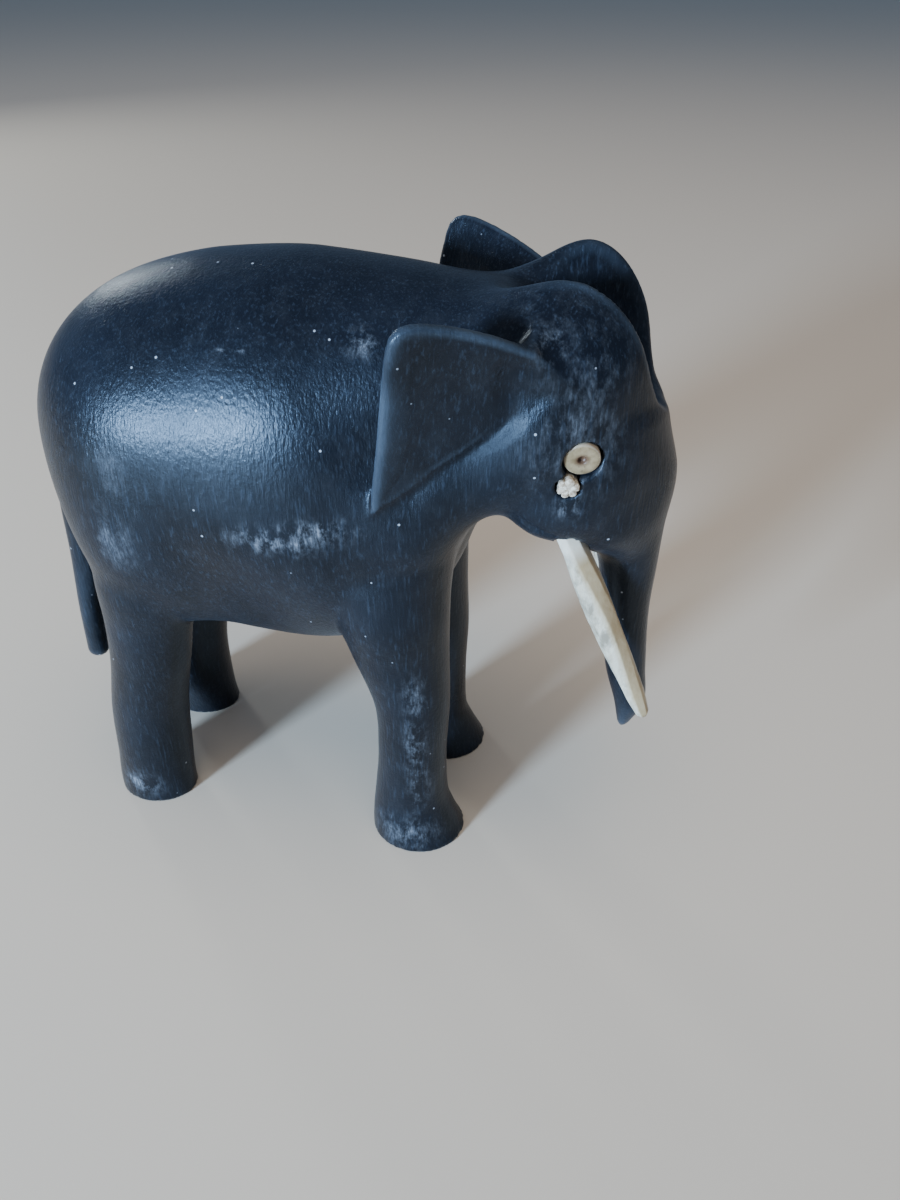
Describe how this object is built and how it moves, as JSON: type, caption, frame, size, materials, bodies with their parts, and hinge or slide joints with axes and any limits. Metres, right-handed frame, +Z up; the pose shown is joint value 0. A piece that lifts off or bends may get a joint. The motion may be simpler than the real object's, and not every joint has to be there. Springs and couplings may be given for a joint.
{
  "type": "carved wooden elephant figure",
  "caption": "Small carved ebony elephant standing on its feet, trunk hanging down, ears spread, with inlaid bone tusks and eyes.",
  "frame": {"origin": "on the floor, under the middle of the figure's box", "axes": "+X towards the head, +Y to the elephant's left, +Z up"},
  "size_m": [0.111, 0.053, 0.1046],
  "materials": {
    "ebony": "near-black hand-polished hardwood, satin, with fine grain pits and whitish scuffs",
    "bone": "whittled bone, off-white with grey-brown stains and a tan edge",
    "horn_eye": "polished olive-tan bone disc with a dark drilled pupil",
    "pale_filler": "crusty off-white filler, matt and crumbly"
  },
  "bodies": {
    "root": {"carving": "ebony", "tusk_right": "bone", "tusk_left": "bone", "eye_right": "horn_eye", "eye_left": "horn_eye", "cheek_plug_right": "pale_filler"}
  },
  "joints": []
}
